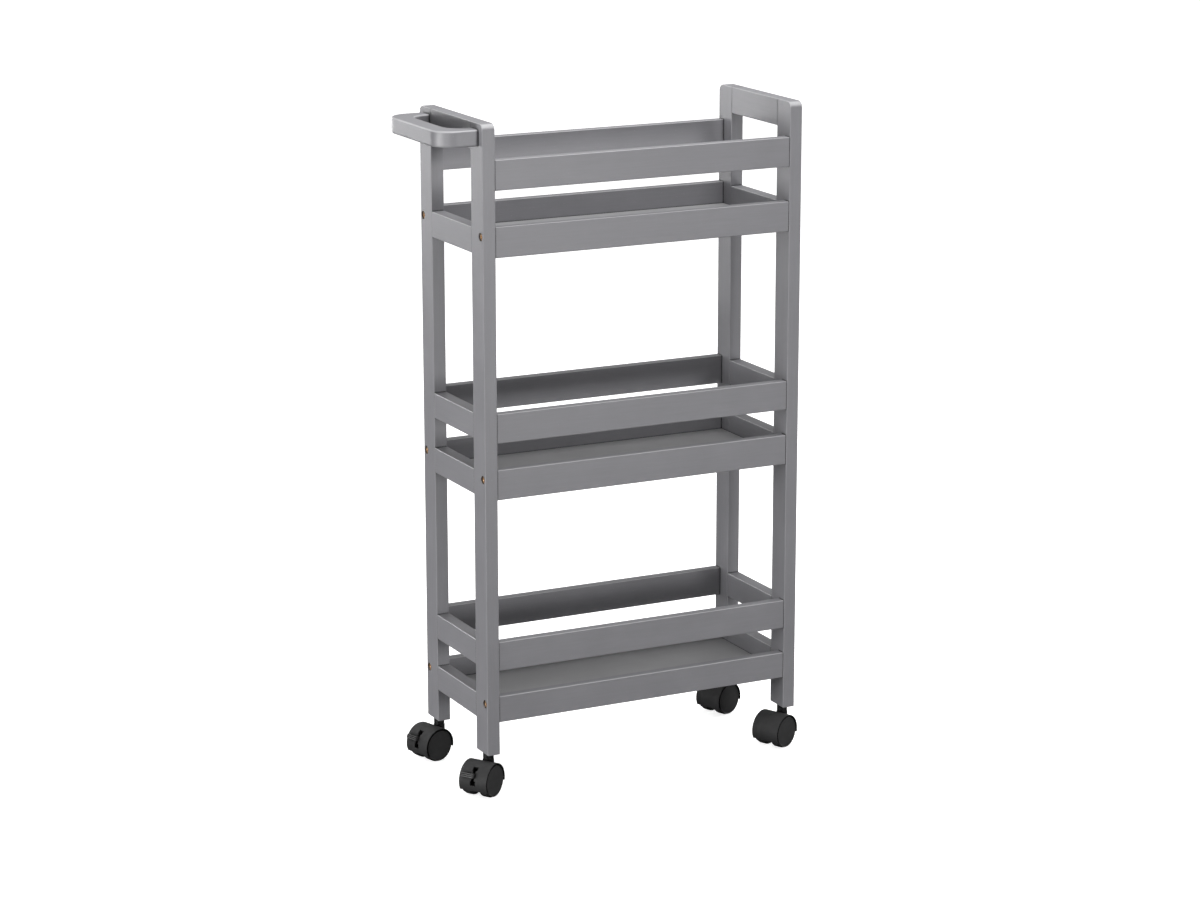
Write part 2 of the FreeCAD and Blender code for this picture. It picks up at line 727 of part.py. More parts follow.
def pedal_section():
    """Corners of the pedal's section: flat underneath, with ribs along its upper face."""
    step = (PEDAL_HIGH - PEDAL_LOW) / (PEDAL_RIBS * 2 - 1)
    corners = [behind_axle(PEDAL_INNER, PEDAL_HIGH), behind_axle(PEDAL_INNER, PEDAL_LOW)]
    for i in range(PEDAL_RIBS * 2 - 1):
        radius = PEDAL_VALLEY if i % 2 else PEDAL_OUTER
        start = PEDAL_LOW + step * i
        corners += [behind_axle(radius, start), behind_axle(radius, start + step)]
    return corners


def make_brake_lever(name):
    """Lever that turns on the axle inside the hood's slot; its pedal lies over the hood."""
    body = new_body(name + "_brake_lever")
    hub = new_sketch(body, "XZ_Plane")
    add_circle(hub, axle_x, axle_z, S["lever_hub_radius"])
    extrude(body, "Pad", hub, S["hub_half_width"] * 2, both_ways=True)
    arm = new_sketch(body, "XZ_Plane")
    add_outline(arm, [behind_axle(4.0, ARM_LOW), behind_axle(PEDAL_OUTER - 2, ARM_LOW + 3),
                      behind_axle(PEDAL_OUTER - 2, ARM_HIGH - 3), behind_axle(4.0, ARM_HIGH)])
    extrude(body, "Pad", arm, S["arm_half_width"] * 2, both_ways=True)
    pedal = new_sketch(body, "XZ_Plane", S["arm_half_width"])
    add_outline(pedal, pedal_section())
    extrude(body, "Pad", pedal, S["arm_half_width"] + S["pedal_reach"], reverse=True)
    bore = new_sketch(body, "XZ_Plane")
    add_circle(bore, axle_x, axle_z, S["axle_radius"] + S["running_gap"])
    cut(body, bore, S["hub_half_width"] * 4, both_ways=True)
    return body


def make_caster(face_name, end_name):
    name = "caster_%s_%s" % (face_name, end_name)
    braked = end_name == "left"
    pieces = [
        make_hood(name, braked),
        make_axle(name),
        make_wheel(name + "_near_wheel", -1),
        make_wheel(name + "_far_wheel", 1),
    ]
    if braked:
        pieces.append(make_brake_lever(name))
    for piece in pieces:
        place(piece, post_centre_x * ENDS[end_name], post_centre_y * FACES[face_name], 0,
              S["swivel_%s_%s" % (face_name, end_name)])


# ---------------------------------------------------------------- the cart

for end_name, end in ENDS.items():
    for face_name in FACES:
        make_post(end_name, face_name)
        make_caster(face_name, end_name)
    make_cross_rail(end_name + "_top_rail", end, top_rail_level, S["top_rail_height"], False)
    for rail_name, level in CROSS_RAILS.items():
        make_cross_rail("%s_%s_rail" % (end_name, rail_name), end, level,
                        S["cross_rail_height"], rail_name.endswith("tray"))

pin_depth = S["pin_in_board"] + S["hole_spare"]
guard_holes = [(S["pin_radius"], pin_depth, S["pin_spread"] * up) for up in (-1, 1)]
tray_holes = [(S["pin_radius"], pin_depth, -S["pin_drop"]),
              (S["insert_radius"], S["insert_length"], S["bolt_rise"])]
for tier in TRAYS:
    for face_name, face in FACES.items():
        make_board("%s_%s_guard" % (face_name, tier), face, GUARDS[tier],
                   S["guard_height"], guard_holes, False)
        make_board("%s_%s_board" % (face_name, tier), face, TRAYS[tier],
                   TRAY_BOARD_HEIGHTS[tier], tray_holes, True)
    make_panel(tier + "_panel", TRAYS[tier])

make_handle()
make_cross_rail_dowels()
make_board_dowels()
make_tray_bolts()
make_handle_screws()
make_sockets_and_stems()
doc.recompute()

# Move everything so that the origin is the middle of the whole cart's bounding box.
whole = Part.makeCompound([part.Shape for part in parts]).optimalBoundingBox()
for alias, middle in (("shift_x", whole.Center.x), ("shift_y", whole.Center.y)):
    sheet.set(sheet.getCellFromAlias(alias), repr(round(-middle, 4)))
doc.recompute()

for obj in doc.Objects:
    if "Invalid" in obj.State or "Error" in obj.State:
        raise RuntimeError("%s did not compute: %s" % (obj.Name, obj.State))
for part in parts:
    if part.Shape.isNull() or not part.Shape.isValid():
        raise RuntimeError("bad shape in " + part.Label)

os.makedirs("parts", exist_ok=True)
for part in parts:
    part.Shape.exportStep(os.path.join("parts", part.Label + ".step"))
print("%d parts written" % len(parts))
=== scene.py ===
import json
import math

import bmesh
import bpy
from mathutils import Matrix, Vector


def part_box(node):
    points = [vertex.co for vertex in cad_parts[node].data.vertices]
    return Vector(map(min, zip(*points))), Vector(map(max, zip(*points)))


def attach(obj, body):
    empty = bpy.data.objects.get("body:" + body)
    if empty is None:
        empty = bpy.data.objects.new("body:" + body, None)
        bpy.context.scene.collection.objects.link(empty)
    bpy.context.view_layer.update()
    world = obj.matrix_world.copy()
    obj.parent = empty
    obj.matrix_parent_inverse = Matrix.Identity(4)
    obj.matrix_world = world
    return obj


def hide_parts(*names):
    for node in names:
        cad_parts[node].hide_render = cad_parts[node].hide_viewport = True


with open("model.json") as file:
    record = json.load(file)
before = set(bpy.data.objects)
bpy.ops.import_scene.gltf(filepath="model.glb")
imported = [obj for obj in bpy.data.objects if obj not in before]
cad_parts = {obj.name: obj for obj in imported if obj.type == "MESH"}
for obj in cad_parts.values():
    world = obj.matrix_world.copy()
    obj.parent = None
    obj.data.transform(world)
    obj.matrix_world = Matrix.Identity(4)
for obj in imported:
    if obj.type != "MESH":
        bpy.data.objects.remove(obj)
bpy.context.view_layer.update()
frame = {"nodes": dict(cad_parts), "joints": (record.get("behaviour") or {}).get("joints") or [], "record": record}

nodes = frame["nodes"]
joints = {joint["name"]: joint for joint in frame["joints"]}
CASTERS = ("front_left", "back_left", "front_right", "back_right")
MM = 0.001
WHITE = (1.0, 1.0, 1.0)
MASK_SAMPLES = 6             # rays of each bevel and occlusion node
STRAIGHT = 0.985             # cosine above which two directions count as one

# Wheels
HUB_BORE = 2.55 * MM         # radius, a sliding fit on the axle
HUB_DEPTH = 11.0 * MM
WEB_RECESS = 0.7 * MM        # how far the inner face is dished between hub and tread
TREAD_ROUND = 1.2 * MM
TREAD_GROOVE = 0.25 * MM     # depth and half width of the two grooves round the tread
GROOVE_FROM_INNER = 3.2 * MM
GROOVE_FROM_STEP = 2.6 * MM
CAP_LENGTH = 3.5 * MM        # outer part of a wheel, a little smaller than its tread
CAP_INSET = 1.45 * MM
CAP_BRIM = 0.55 * MM
CAP_DISH = 0.5 * MM          # how far the cap's face lies behind its brim

# Stems
JOURNAL_LENGTH = 16.0 * MM   # foot of the stem, inside the hood
JOURNAL_RADIUS = 4.5 * MM
PIN_RADIUS = 5.0 * MM        # the part inside the post
CHAMFER = 0.5 * MM
RINGS = (2.6 * MM, 5.2 * MM, 7.8 * MM)    # grooves round the neck, above its foot
RING_DEPTH = 0.6 * MM
RING_TOP = 0.5 * MM          # half widths of a groove, at its top and at its floor
RING_FLOOR = 0.2 * MM

# Bolts
BOLT_HEAD = 4.0 * MM
SHANK_RADIUS = 3.0 * MM
SHANK_CHAMFER = 0.6 * MM
CROWN_ROUND = 1.0 * MM
SOCKET_RIM = 3.1 * MM
SOCKET_TOP = 2.75 * MM
SOCKET_FOOT = 2.6 * MM
SOCKET_DEPTH = 2.5 * MM
SOCKET_BEVEL = 0.35 * MM     # depth from the crown to the hexagon
SOCKET_POINT = 3.1 * MM      # depth of the drill point


# ---------------------------------------------------------------- node helpers

def new_material(name):
    """Material with one Principled shader; returns it, its node tree and the shader."""
    material = bpy.data.materials.new(name)
    material.use_nodes = True
    tree = material.node_tree
    tree.nodes.clear()
    output = tree.nodes.new("ShaderNodeOutputMaterial")
    shader = tree.nodes.new("ShaderNodeBsdfPrincipled")
    tree.links.new(shader.outputs["BSDF"], output.inputs["Surface"])
    return material, tree, shader


def mapped(tree, scale):
    """Object coordinates, in metres, stretched by scale."""
    coordinates = tree.nodes.new("ShaderNodeTexCoord")
    mapping = tree.nodes.new("ShaderNodeMapping")
    mapping.inputs["Scale"].default_value = scale
    tree.links.new(coordinates.outputs["Object"], mapping.inputs["Vector"])
    return mapping.outputs["Vector"]


def noise(tree, vector, scale, detail=3.0, roughness=0.5, distortion=0.0):
    texture = tree.nodes.new("ShaderNodeTexNoise")
    texture.inputs["Scale"].default_value = scale
    texture.inputs["Detail"].default_value = detail
    texture.inputs["Roughness"].default_value = roughness
    texture.inputs["Distortion"].default_value = distortion
    tree.links.new(vector, texture.inputs["Vector"])
    return texture.outputs["Fac"]


def ramp(tree, value, stops):
    """Colour ramp; stops lists (position, grey or (r, g, b))."""
    node = tree.nodes.new("ShaderNodeValToRGB")
    elements = node.color_ramp.elements
    while len(elements) < len(stops):
        elements.new(0.5)
    for element, (position, colour) in zip(elements, stops):
        element.position = position
        rgb = colour if isinstance(colour, tuple) else (colour,) * 3
        element.color = (*rgb, 1.0)
    tree.links.new(value, node.inputs["Fac"])
    return node.outputs["Color"]


def blend_colours(tree, mode, factor, first, second):
    """Mix node on colours; each argument is a socket or a plain value."""
    node = tree.nodes.new("ShaderNodeMix")
    node.data_type = "RGBA"
    node.blend_type = mode
    for socket, value in ((node.inputs[0], factor), (node.inputs[6], first),
                          (node.inputs[7], second)):
        if isinstance(value, bpy.types.NodeSocket):
            tree.links.new(value, socket)
        elif isinstance(value, tuple):
            socket.default_value = (*value, 1.0)
        else:
            socket.default_value = value
    return node.outputs[2]


def bump(tree, height, strength, distance, under=None):
    """Normal raised by height, on top of the normal under it where one is given."""
    node = tree.nodes.new("ShaderNodeBump")
    node.inputs["Strength"].default_value = strength
    node.inputs["Distance"].default_value = distance
    tree.links.new(height, node.inputs["Height"])
    if under is not None:
        tree.links.new(under, node.inputs["Normal"])
    return node.outputs["Normal"]


def rounded_normal(tree, radius):
    """Normal that rounds off sharp edges by radius."""
    bevel = tree.nodes.new("ShaderNodeBevel")
    bevel.samples = MASK_SAMPLES
    bevel.inputs["Radius"].default_value = radius
    return bevel.outputs["Normal"]


def edge_mask(tree, radius):
    """White along the edges within radius, black on the faces."""
    geometry = tree.nodes.new("ShaderNodeNewGeometry")
    dot = tree.nodes.new("ShaderNodeVectorMath")
    dot.operation = "DOT_PRODUCT"
    tree.links.new(rounded_normal(tree, radius), dot.inputs[0])
    tree.links.new(geometry.outputs["Normal"], dot.inputs[1])
    return ramp(tree, dot.outputs["Value"], [(0.80, 1.0), (STRAIGHT, 0.0)])


def edge_highlight_mask(tree):
    """Painted highlight mask: white on the rounded edges of square timber, most on those that face up towards the
    light.
    """
    coordinates = tree.nodes.new("ShaderNodeTexCoord")
    absolute = tree.nodes.new("ShaderNodeVectorMath")
    absolute.operation = "ABSOLUTE"
    tree.links.new(coordinates.outputs["Normal"], absolute.inputs[0])
    parts = tree.nodes.new("ShaderNodeSeparateXYZ")
    tree.links.new(absolute.outputs["Vector"], parts.inputs["Vector"])
    largest = parts.outputs["X"]
    for name in ("Y", "Z"):
        greater = tree.nodes.new("ShaderNodeMath")
        greater.operation = "MAXIMUM"
        tree.links.new(largest, greater.inputs[0])
        tree.links.new(parts.outputs[name], greater.inputs[1])
        largest = greater.outputs["Value"]
    ridge = ramp(tree, largest, [(0.86, 1.0), (STRAIGHT, 0.0)])
    tilt = tree.nodes.new("ShaderNodeSeparateXYZ")
    tree.links.new(coordinates.outputs["Normal"], tilt.inputs["Vector"])
    # the painted highlight fades on edges that face down, away from the light above
    upward = ramp(tree, tilt.outputs["Z"], [(0.0, 0.35), (0.3, 1.0)])
    return blend_colours(tree, "MULTIPLY", 1.0, ridge, upward)


def crevice_mask(tree, distance, deep, clear):
    """Painted shade for joints and recesses, darker where ambient occlusion finds nearby surfaces; deep and clear
    are the (openness, shade) at each end.
    """
    occlusion = tree.nodes.new("ShaderNodeAmbientOcclusion")
    occlusion.samples = MASK_SAMPLES
    occlusion.inputs["Distance"].default_value = distance
    return ramp(tree, occlusion.outputs["AO"], [deep, clear])


# ---------------------------------------------------------------- materials

PAINT_LIGHT = (0.214, 0.212, 0.226)
PAINT_DARK = (0.198, 0.196, 0.209)
PANEL_LIGHT = (0.305, 0.304, 0.310)
PANEL_DARK = (0.275, 0.274, 0.280)
# lighter grey painted on the rounded edges as a highlight
EDGE_HIGHLIGHT = (0.360, 0.358, 0.370)
DUST = (0.42, 0.42, 0.42)
UNSTRETCHED = (1.0, 1.0, 1.0)
ALONG_GRAIN = 0.045          # scale along the grain, which draws the fibres out


def painted_wood(name, along):
    """Satin grey paint over wood whose grain runs along one axis."""
    material, tree, shader = new_material(name)
    stretch = [1.0, 1.0, 1.0]
    stretch["xyz".index(along)] = ALONG_GRAIN
    fibres = mapped(tree, tuple(stretch))
    plain = mapped(tree, UNSTRETCHED)
    grain = noise(tree, fibres, 520.0, detail=4.0, roughness=0.62, distortion=0.35)
    bands = noise(tree, fibres, 95.0, detail=2.0)
    cloud = noise(tree, plain, 16.0)
    peel = noise(tree, plain, 1100.0, roughness=0.65)
    base = ramp(tree, cloud, [(0.30, PAINT_DARK), (0.70, PAINT_LIGHT)])
    streaked = blend_colours(tree, "MULTIPLY", 0.30, base,
                             ramp(tree, bands, [(0.35, 0.93), (0.65, 1.0)]))
    grained = blend_colours(tree, "MULTIPLY", 0.35, streaked,
                            ramp(tree, grain, [(0.40, 0.90), (0.60, 1.0)]))
    specks = ramp(tree, noise(tree, plain, 900.0, detail=1.0), [(0.745, 0.0), (0.775, 0.55)])
    dusty = blend_colours(tree, "MIX", specks, grained, DUST)
    # painted highlight: lighter grey on the rounded edges, most on those facing up
    edge_lit = blend_colours(tree, "MIX", edge_highlight_mask(tree), dusty, EDGE_HIGHLIGHT)
    # painted shade: darker in the joints, where ambient occlusion finds nearby surfaces
    joint_shade = crevice_mask(tree, 2.5 * MM, (0.48, 0.08), (0.90, 1.0))
    shaded = blend_colours(tree, "MULTIPLY", 1.0, edge_lit, joint_shade)
    tree.links.new(shaded, shader.inputs["Base Color"])
    tree.links.new(ramp(tree, cloud, [(0.25, 0.42), (0.75, 0.50)]), shader.inputs["Roughness"])
    shader.inputs["Specular IOR Level"].default_value = 0.5
    surface = bump(tree, peel, 0.30, 0.04 * MM)
    tree.links.new(bump(tree, grain, 0.25, 0.04 * MM, surface), shader.inputs["Normal"])
    return material


def painted_panel():
    """Smooth grey foil on thin board, with faint lines along the cart."""
    material, tree, shader = new_material("panel_paint")
    plain = mapped(tree, UNSTRETCHED)
    lines = mapped(tree, (0.03, 1.0, 1.0))
    cloud = noise(tree, plain, 11.0)
    streaks = noise(tree, lines, 260.0)
    peel = noise(tree, plain, 1300.0, detail=2.0)
    base = ramp(tree, cloud, [(0.30, PANEL_DARK), (0.70, PANEL_LIGHT)])
    streaked = blend_colours(tree, "MULTIPLY", 0.6, base,
                             ramp(tree, streaks, [(0.35, 0.88), (0.65, 1.0)]))
    tree.links.new(streaked, shader.inputs["Base Color"])
    tree.links.new(ramp(tree, streaks, [(0.3, 0.54), (0.7, 0.64)]), shader.inputs["Roughness"])
    shader.inputs["Specular IOR Level"].default_value = 0.4
    tree.links.new(bump(tree, peel, 0.2, 0.03 * MM), shader.inputs["Normal"])
    return material


def raw_beech():
    """Unpainted dowel wood."""
    material, tree, shader = new_material("raw_beech")
    plain = mapped(tree, UNSTRETCHED)
    grain = noise(tree, plain, 700.0, detail=5.0, distortion=1.0)
    colour = ramp(tree, grain, [(0.25, (0.46, 0.30, 0.17)), (0.75, (0.68, 0.50, 0.31))])
    tree.links.new(colour, shader.inputs["Base Color"])
    tree.links.new(ramp(tree, grain, [(0.3, 0.6), (0.7, 0.78)]), shader.inputs["Roughness"])
    tree.links.new(bump(tree, grain, 0.4, 0.08 * MM), shader.inputs["Normal"])
    return material


def metal(name, dark, light, marks_scale, rough, edge=0.3 * MM):
    """Metal with fine turning marks, mottled between two colours."""
    material, tree, shader = new_material(name)
    plain = mapped(tree, UNSTRETCHED)
    marks = noise(tree, plain, marks_scale, detail=5.0, roughness=0.6)
    blots = noise(tree, plain, marks_scale * 0.2, detail=2.0)
    colour = ramp(tree, blots, [(0.32, dark), (0.68, light)])
    tree.links.new(colour, shader.inputs["Base Color"])
    shader.inputs["Metallic"].default_value = 1.0
    tree.links.new(ramp(tree, marks, [(0.3, rough), (0.7, rough + 0.16)]),
                   shader.inputs["Roughness"])
    tree.links.new(bump(tree, marks, 0.25, 0.03 * MM, rounded_normal(tree, edge)),
                   shader.inputs["Normal"])
    return material


def moulded(name, dark, light, rim_highlight, rough, grain_scale, edge):
    """Black moulded plastic with a spark-eroded grain and faint flow marks, a painted highlight along its edges
    and painted shade in its recesses.
    """
    material, tree, shader = new_material(name)
    plain = mapped(tree, UNSTRETCHED)
    grain = noise(tree, plain, grain_scale, roughness=0.7)
    flow = noise(tree, plain, 60.0, distortion=1.2)
    base = ramp(tree, flow, [(0.30, dark), (0.70, light)])
    # painted highlight: a lighter grey along the edges
    highlighted_rims = blend_colours(tree, "MIX", edge_mask(tree, edge * 1.5), base, rim_highlight)
    # painted shade: near black in the slots, gaps and other recesses, where ambient occlusion finds nearby
    # surfaces
    recesses = crevice_mask(tree, 8.0 * MM, (0.55, 0.02), (0.95, 1.0))
    recessed = blend_colours(tree, "MULTIPLY", 1.0, highlighted_rims, recesses)
    tree.links.new(recessed, shader.inputs["Base Color"])
    tree.links.new(ramp(tree, grain, [(0.25, rough - 0.05), (0.75, rough + 0.10)]),
                   shader.inputs["Roughness"])
    shader.inputs["Specular IOR Level"].default_value = 0.14
    tree.links.new(bump(tree, grain, 0.4, 0.04 * MM, rounded_normal(tree, edge)),
                   shader.inputs["Normal"])
    return material


paints = {axis: painted_wood("satin_paint_" + axis, axis) for axis in "xyz"}
yellow_zinc = metal("yellow_zinc", (0.52, 0.30, 0.15), (0.84, 0.60, 0.36), 2600.0, 0.34)
black_steel = metal("black_steel", (0.020, 0.020, 0.021), (0.045, 0.045, 0.046), 2400.0, 0.34)
# the third colour of each plastic is the painted edge highlight
hood_plastic = moulded("hood_nylon", (0.029, 0.029, 0.0295), (0.037, 0.037, 0.0375),
                       (0.100, 0.100, 0.102), 0.55, 2800.0, 0.35 * MM)
wheel_plastic = moulded("wheel_nylon", (0.029, 0.029, 0.0295), (0.036, 0.036, 0.0365),
                        (0.090, 0.090, 0.092), 0.48, 2600.0, 0.30 * MM)
pedal_plastic = moulded("pedal_nylon", (0.060, 0.060, 0.0605), (0.080, 0.080, 0.0805),
                        (0.150, 0.150, 0.152), 0.45, 2800.0, 0.25 * MM)
SLOT_MATERIALS = {
    "panel_grey": painted_panel(),
    "dowel_wood": raw_beech(),
    "bolt_brass": yellow_zinc,
    "caster_plastic": hood_plastic,
    "wheel_plastic": wheel_plastic,
    "steel": metal("bright_steel", (0.50, 0.50, 0.51), (0.66, 0.66, 0.66), 2400.0, 0.24),
    "dark_steel": black_steel,
}


def grain_axis(node):
    """The axis along which a wooden part is longest."""
    low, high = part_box(node)
    size = high - low
    return "xyz"[max(range(3), key=lambda i: size[i])]


slot_of = {part["node"]: part["material_slot"] for part in frame["record"]["subparts"]}
for name, obj in nodes.items():
    slot = slot_of[name]
    if slot == "painted_wood":
        material = paints[grain_axis(name)]
    elif name.endswith("brake_lever"):
        material = pedal_plastic
    else:
        material = SLOT_MATERIALS[slot]
    obj.data.materials.clear()
    obj.data.materials.append(material)


# ---------------------------------------------------------------- built pieces

def extent(node, direction, origin):
    """Lowest and highest distance of a CAD node from origin, along a direction."""
    reach = [(vertex.co - origin).dot(direction) for vertex in nodes[node].data.vertices]
    return min(reach), max(reach)


def separate_boxes(node):
    """Lowest and highest corner of each separate solid of a CAD node."""
    build = bmesh.new()
    build.from_mesh(nodes[node].data)
    bmesh.ops.remove_doubles(build, verts=build.verts, dist=0.001 * MM)
    boxes, seen = [], set()
    for start in build.verts:
        if start in seen:
            continue
        solid, waiting = [], [start]
        seen.add(start)
        while waiting:
            vertex = waiting.pop()
            solid.append(vertex.co.copy())
            for edge in vertex.link_edges:
                other = edge.other_vert(vertex)
                if other not in seen:
                    seen.add(other)
                    waiting.append(other)
        boxes.append((Vector([min(p[i] for p in solid) for i in range(3)]),
                      Vector([max(p[i] for p in solid) for i in range(3)])))
    build.free()
    return boxes


def revolved(build, profile, matrix, steps):
    """Add to build the closed solid that profile makes round the local z axis.

    profile lists (radius, height); it starts and ends on the axis, at radius 0. A radius may
    be a function of the angle.
    """
    rings = []
    for radius, height in profile:
        if radius == 0:
            rings.append([build.verts.new(matrix @ Vector((0.0, 0.0, height)))])
            continue
        ring = []
        for step in range(steps):
            angle = 2 * math.pi * step / steps
            r = radius(angle) if callable(radius) else radius
            place = Vector((r * math.cos(angle), r * math.sin(angle), height))
            ring.append(build.verts.new(matrix @ place))
        rings.append(ring)
    for lower, upper in zip(rings, rings[1:]):
        for step in range(steps):
            after = (step + 1) % steps
            corners = [lower[step % len(lower)], lower[after % len(lower)],
                       upper[after % len(upper)], upper[step % len(upper)]]
            build.faces.new(list(dict.fromkeys(corners)))


def finish_piece(name, build, material, body, smooth_angle=35.0):
    """Turn build into a piece that rides the body; edges sharper than the angle stay sharp."""
    bmesh.ops.recalc_face_normals(build, faces=build.faces)
    mesh = bpy.data.meshes.new(name)
    build.to_mesh(mesh)
    build.free()
    mesh.shade_smooth()
    mesh.set_sharp_from_angle(angle=math.radians(smooth_angle))
    mesh.materials.append(material)
    piece = bpy.data.objects.new(name, mesh)
    bpy.context.scene.collection.objects.link(piece)
    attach(piece, body)
    return piece


def turned(centre, axis):
    """Matrix whose z axis is the given axis, at the centre."""
    return Matrix.Translation(centre) @ axis.to_track_quat("Z", "Y").to_matrix().to_4x4()


def quarter(radius, height, size, start, end, count=6):
    """Points of a quarter round of this size about (radius, height), in degrees."""
    angles = [math.radians(start + (end - start) * i / count) for i in range(count + 1)]
    return [(radius + size * math.cos(angle), height + size * math.sin(angle))
            for angle in angles]


def make_wheel(caster, side):
    """Moulded wheel: recessed inner face, grooved tread, and a smaller dished cap outside."""
    body = "wheel_%s_%s" % (caster, side)
    node = "caster_%s_%s_wheel" % (caster, side)
    joint = joints["roll_%s_%s" % (caster, side)]
    centre = Vector(joint["pos_m"])
    outward = Vector(joint["axis"]).normalized() * (1 if side == "far" else -1)
    inner, outer = extent(node, outward, centre)
    radius = extent(node, Vector((0, 0, 1)), centre)[1]
    step = outer - CAP_LENGTH
    profile = [(0, inner + HUB_DEPTH), (HUB_BORE, inner + HUB_DEPTH),
               (HUB_BORE, inner + TREAD_GROOVE), (HUB_BORE + TREAD_GROOVE, inner),
               (radius * 0.28, inner), (radius * 0.30, inner + WEB_RECESS),
               (radius * 0.78, inner + WEB_RECESS), (radius * 0.81, inner)]
    profile += quarter(radius - TREAD_ROUND, inner + TREAD_ROUND, TREAD_ROUND, -90, 0)
    for level in (inner + GROOVE_FROM_INNER, step - GROOVE_FROM_STEP):
        profile += [(radius, level - TREAD_GROOVE),
                    (radius - TREAD_GROOVE, level - TREAD_GROOVE * 0.4),
                    (radius - TREAD_GROOVE, level + TREAD_GROOVE * 0.4),
                    (radius, level + TREAD_GROOVE)]
    profile += quarter(radius - TREAD_ROUND, step - TREAD_ROUND, TREAD_ROUND, 0, 90)
    cap = radius - CAP_INSET
    profile += [(cap, step)]
    profile += quarter(cap - CAP_BRIM, outer - CAP_BRIM, CAP_BRIM, 0, 90)
    lip = cap - CAP_BRIM * 2
    profile += [(lip, outer), (lip - CAP_DISH, outer - CAP_DISH),
                (radius * 0.50, outer - CAP_DISH * 0.60),
                (radius * 0.25, outer - CAP_DISH * 0.40),
                (0, outer - CAP_DISH * 0.36)]
    build = bmesh.new()
    revolved(build, profile, turned(centre, outward), 96)
    wheel = finish_piece(body, build, wheel_plastic, body, 28.0)
    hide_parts(node)


def make_stems():
    """Black stems: pin in the post, ringed neck under it, journal inside the hood."""
    neck_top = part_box("caster_sockets")[0].z
    build = bmesh.new()
    for low, high in separate_boxes("caster_stems"):
        middle = (low + high) / 2
        neck = (high.x - low.x) / 2
        foot = low.z + JOURNAL_LENGTH
        profile = [(0, low.z), (JOURNAL_RADIUS - CHAMFER, low.z),
                   (JOURNAL_RADIUS, low.z + CHAMFER), (JOURNAL_RADIUS, foot),
                   (neck - CHAMFER, foot), (neck, foot + CHAMFER)]
        for ring in RINGS:
            level = foot + ring
            profile += [(neck, level - RING_TOP), (neck - RING_DEPTH, level - RING_FLOOR),
                        (neck - RING_DEPTH, level + RING_FLOOR), (neck, level + RING_TOP)]
        profile += [(neck, neck_top), (PIN_RADIUS, neck_top), (PIN_RADIUS, high.z - CHAMFER),
                    (PIN_RADIUS - CHAMFER, high.z), (0, high.z)]
        revolved(build, profile, Matrix.Translation((middle.x, middle.y, 0.0)), 64)
    stems = finish_piece("stems", build, black_steel, "frame")
    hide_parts("caster_stems")


def hexagon(radius):
    """Radius, as a function of the angle, of a hexagon with this distance to its corners."""
    def at(angle):
        turn = (angle + math.pi / 6) % (math.pi / 3) - math.pi / 6
        return radius * math.cos(math.pi / 6) / math.cos(turn)
    return at


def make_bolts():
    """Twelve socket-head bolts with rounded heads."""
    middle_x = sum(corner.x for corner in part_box("tray_bolts")) / 2
    build = bmesh.new()
    for low, high in separate_boxes("tray_bolts"):
        middle = (low + high) / 2
        outward = 1 if middle.x > middle_x else -1
        crown = Vector((high.x if outward > 0 else low.x, middle.y, middle.z))
        head, length = (high.z - low.z) / 2, high.x - low.x
        profile = [(0, -length), (SHANK_RADIUS - SHANK_CHAMFER, -length),
                   (SHANK_RADIUS, -length + SHANK_CHAMFER), (SHANK_RADIUS, -BOLT_HEAD),
                   (head, -BOLT_HEAD)]
        profile += quarter(head - CROWN_ROUND, -CROWN_ROUND, CROWN_ROUND, 0, 90, 5)
        profile += [(SOCKET_RIM, 0.0), (hexagon(SOCKET_TOP), -SOCKET_BEVEL),
                    (hexagon(SOCKET_FOOT), -SOCKET_DEPTH), (0, -SOCKET_POINT)]
        revolved(build, profile, turned(crown, Vector((outward, 0, 0))), 48)
    bolts = finish_piece("bolts", build, yellow_zinc, "frame")
    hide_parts("tray_bolts")


for caster in CASTERS:
    for side in ("near", "far"):
        make_wheel(caster, side)
make_stems()
make_bolts()


# ---------------------------------------------------------------- floor, light and camera

FLOOR_HALF = 60.0
FLOOR_GLOW = 0.75            # keeps the floor as pale as the world behind it
WORLD_BELOW, WORLD_ABOVE = 0.05, 0.56    # greys that the world sends to surfaces
LIGHTS = (                   # name, place, height it points at on the axis, size, watts
    ("front_softbox", (0.8, -3.2, 0.4), 0.5, (0.6, 0.6), 40.0),
    ("brow_softbox", (0.1, -1.3, 2.5), 0.6, (1.0, 0.6), 18.0),
    ("top_softbox", (0.1, -0.05, 3.3), 0.6, (1.3, 1.3), 48.0),
    ("left_softbox", (-3.0, -0.3, 0.2), 0.5, (1.0, 1.2), 98.0),
    ("right_softbox", (3.2, 0.5, 0.9), 0.5, (1.2, 1.2), 45.0),
    ("back_softbox", (-0.9, 3.4, 0.9), 0.5, (1.2, 1.2), 45.0),
)
CAMERA_PLACE = (-2194.4, -4351.2, 1692.9)    # mm from the middle of the posts, on the floor
CAMERA_YAW, CAMERA_PITCH, CAMERA_ROLL = 26.557, 14.042, -0.051
FOCAL_SHARE = 3330.6 / 1200                  # focal length over the width of the picture
SENSOR_WIDTH = 36.0


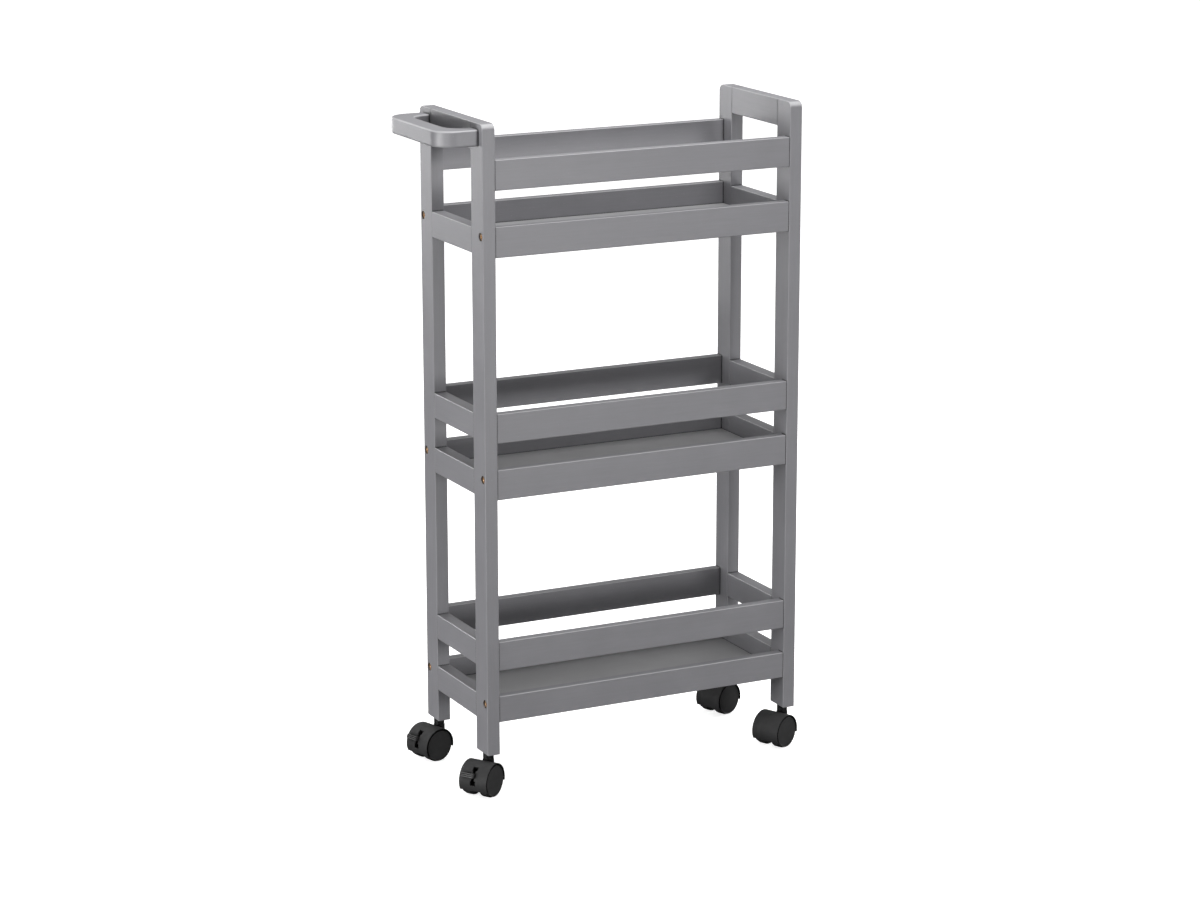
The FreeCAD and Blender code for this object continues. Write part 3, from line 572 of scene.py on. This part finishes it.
def make_floor():
    """Pale floor that the camera sees but that throws no light on the object."""
    mesh = bpy.data.meshes.new("floor")
    build = bmesh.new()
    bmesh.ops.create_grid(build, x_segments=1, y_segments=1, size=FLOOR_HALF)
    build.to_mesh(mesh)
    build.free()
    floor = bpy.data.objects.new("floor", mesh)
    bpy.context.scene.collection.objects.link(floor)
    material, tree, shader = new_material("floor_white")
    plain = mapped(tree, UNSTRETCHED)
    shade = ramp(tree, noise(tree, plain, 3.0), [(0.3, 0.86), (0.7, 0.88)])
    tree.links.new(shade, shader.inputs["Base Color"])
    shader.inputs["Roughness"].default_value = 0.9
    shader.inputs["Emission Color"].default_value = (*WHITE, 1.0)
    shader.inputs["Emission Strength"].default_value = FLOOR_GLOW
    shader.inputs["Specular IOR Level"].default_value = 0.1
    mesh.materials.append(material)
    floor.visible_diffuse = False
    floor.visible_glossy = False


def make_world():
    """White behind the object; what reaches its surfaces is a grey that brightens upwards."""
    world = bpy.data.worlds.new("white_studio")
    world.use_nodes = True
    tree = world.node_tree
    background = tree.nodes["Background"]
    coordinates = tree.nodes.new("ShaderNodeTexCoord")
    parts = tree.nodes.new("ShaderNodeSeparateXYZ")
    tree.links.new(coordinates.outputs["Generated"], parts.inputs["Vector"])
    height = tree.nodes.new("ShaderNodeMapRange")
    height.inputs["From Min"].default_value = -1.0
    tree.links.new(parts.outputs["Z"], height.inputs["Value"])
    grey = ramp(tree, height.outputs["Result"], [(0.45, WORLD_BELOW), (0.60, WORLD_ABOVE)])
    path = tree.nodes.new("ShaderNodeLightPath")
    shown = blend_colours(tree, "MIX", path.outputs["Is Camera Ray"], grey, WHITE)
    tree.links.new(shown, background.inputs["Color"])
    bpy.context.scene.world = world


def make_lights():
    """Soft rectangular lights round the cart."""
    for name, place, target_height, size, watts in LIGHTS:
        data = bpy.data.lights.new(name, "AREA")
        data.shape = "RECTANGLE"
        data.size, data.size_y = size
        data.energy = watts
        lamp = bpy.data.objects.new(name, data)
        bpy.context.scene.collection.objects.link(lamp)
        lamp.location = place
        aim = Vector((0.0, 0.0, target_height)) - Vector(place)
        lamp.rotation_euler = aim.to_track_quat("-Z", "Y").to_euler()


def make_camera():
    """Camera to the left of the front, pitched down, without shift."""
    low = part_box("post_front_left")[0]
    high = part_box("post_back_right")[1]
    centre = Vector(((low.x + high.x) / 2, (low.y + high.y) / 2, 0.0))
    place = centre + Vector(CAMERA_PLACE) * MM
    yaw, pitch, roll = (math.radians(v) for v in (CAMERA_YAW, CAMERA_PITCH, CAMERA_ROLL))
    forward = Vector((math.sin(yaw) * math.cos(pitch), math.cos(yaw) * math.cos(pitch),
                      -math.sin(pitch)))
    level = Vector((math.cos(yaw), -math.sin(yaw), 0.0))
    upright = level.cross(forward)
    right = level * math.cos(roll) + upright * math.sin(roll)
    up = upright * math.cos(roll) - level * math.sin(roll)
    data = bpy.data.cameras.new("camera")
    data.sensor_width = SENSOR_WIDTH
    data.lens = SENSOR_WIDTH * FOCAL_SHARE
    camera = bpy.data.objects.new("camera", data)
    bpy.context.scene.collection.objects.link(camera)
    camera.matrix_world = Matrix((
        (right.x, up.x, -forward.x, place.x),
        (right.y, up.y, -forward.y, place.y),
        (right.z, up.z, -forward.z, place.z),
        (0.0, 0.0, 0.0, 1.0)))
    bpy.context.scene.camera = camera


make_floor()
make_world()
make_lights()
make_camera()
bpy.context.scene.view_settings.view_transform = "Standard"
